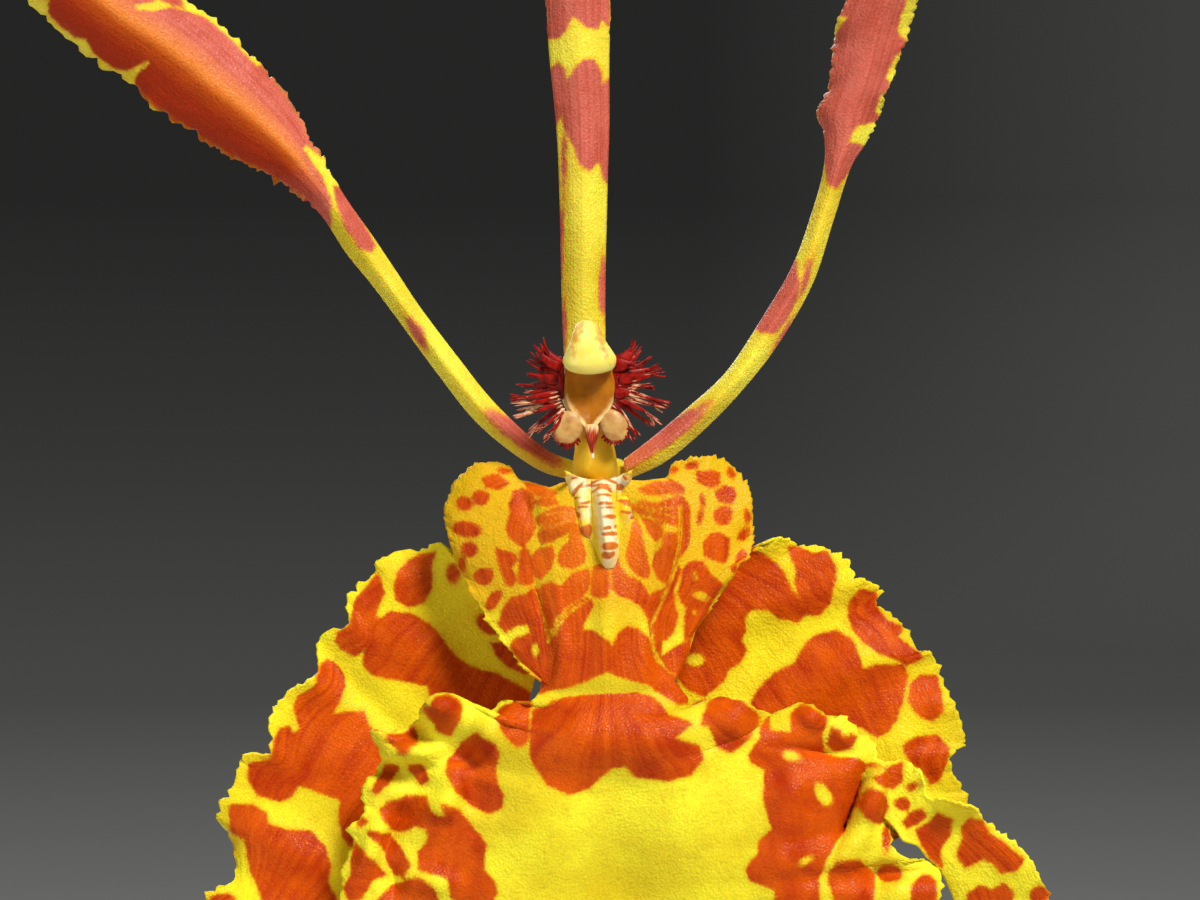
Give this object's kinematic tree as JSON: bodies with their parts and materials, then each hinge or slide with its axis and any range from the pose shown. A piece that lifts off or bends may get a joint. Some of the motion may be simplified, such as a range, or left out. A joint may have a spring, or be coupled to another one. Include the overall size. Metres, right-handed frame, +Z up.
{
  "type": "potted psychopsis versteegiana",
  "caption": "Potted butterfly orchid: mottled leaves on clustered pseudobulbs, a tall flower stalk and an open yellow and red flower, in a plain terracotta pot.",
  "frame": {"origin": "middle of the pot's foot, on the surface that the pot stands on", "axes": "+Z up, the flower faces -Y, and +X is to the right as the flower is seen from the front"},
  "size_m": [0.1951, 0.121, 0.4961],
  "materials": {
    "terracotta": "matte",
    "bark": "matte",
    "rhizome": "matte",
    "pseudobulb": "satin",
    "leaf": "satin",
    "root": "matte",
    "stalk": "satin",
    "bract": "matte",
    "tepal_red": "satin",
    "sepal_yellow": "satin",
    "lip_yellow": "satin",
    "column": "satin",
    "anther": "satin"
  },
  "bodies": {
    "root": {"pot": "terracotta", "bark_medium": "bark", "rhizome": "rhizome", "pseudobulb_1": "pseudobulb", "pseudobulb_2": "pseudobulb", "pseudobulb_3": "pseudobulb", "pseudobulb_4": "pseudobulb", "pseudobulb_5": "pseudobulb", "leaf_1": "leaf", "leaf_2": "leaf", "leaf_3": "leaf", "leaf_4": "leaf", "leaf_5": "leaf", "root_1": "root", "root_2": "root", "root_3": "root", "root_4": "root", "flower_stalk": "stalk", "bract_1": "bract", "bract_2": "bract", "bract_3": "bract", "bract_4": "bract", "next_bud": "stalk", "pedicel_ovary": "stalk", "dorsal_sepal": "tepal_red", "petal_left": "tepal_red", "petal_right": "tepal_red", "lateral_sepal_left": "sepal_yellow", "lateral_sepal_right": "sepal_yellow", "lip": "lip_yellow", "column": "column", "anther_cap": "anther"}
  },
  "joints": []
}
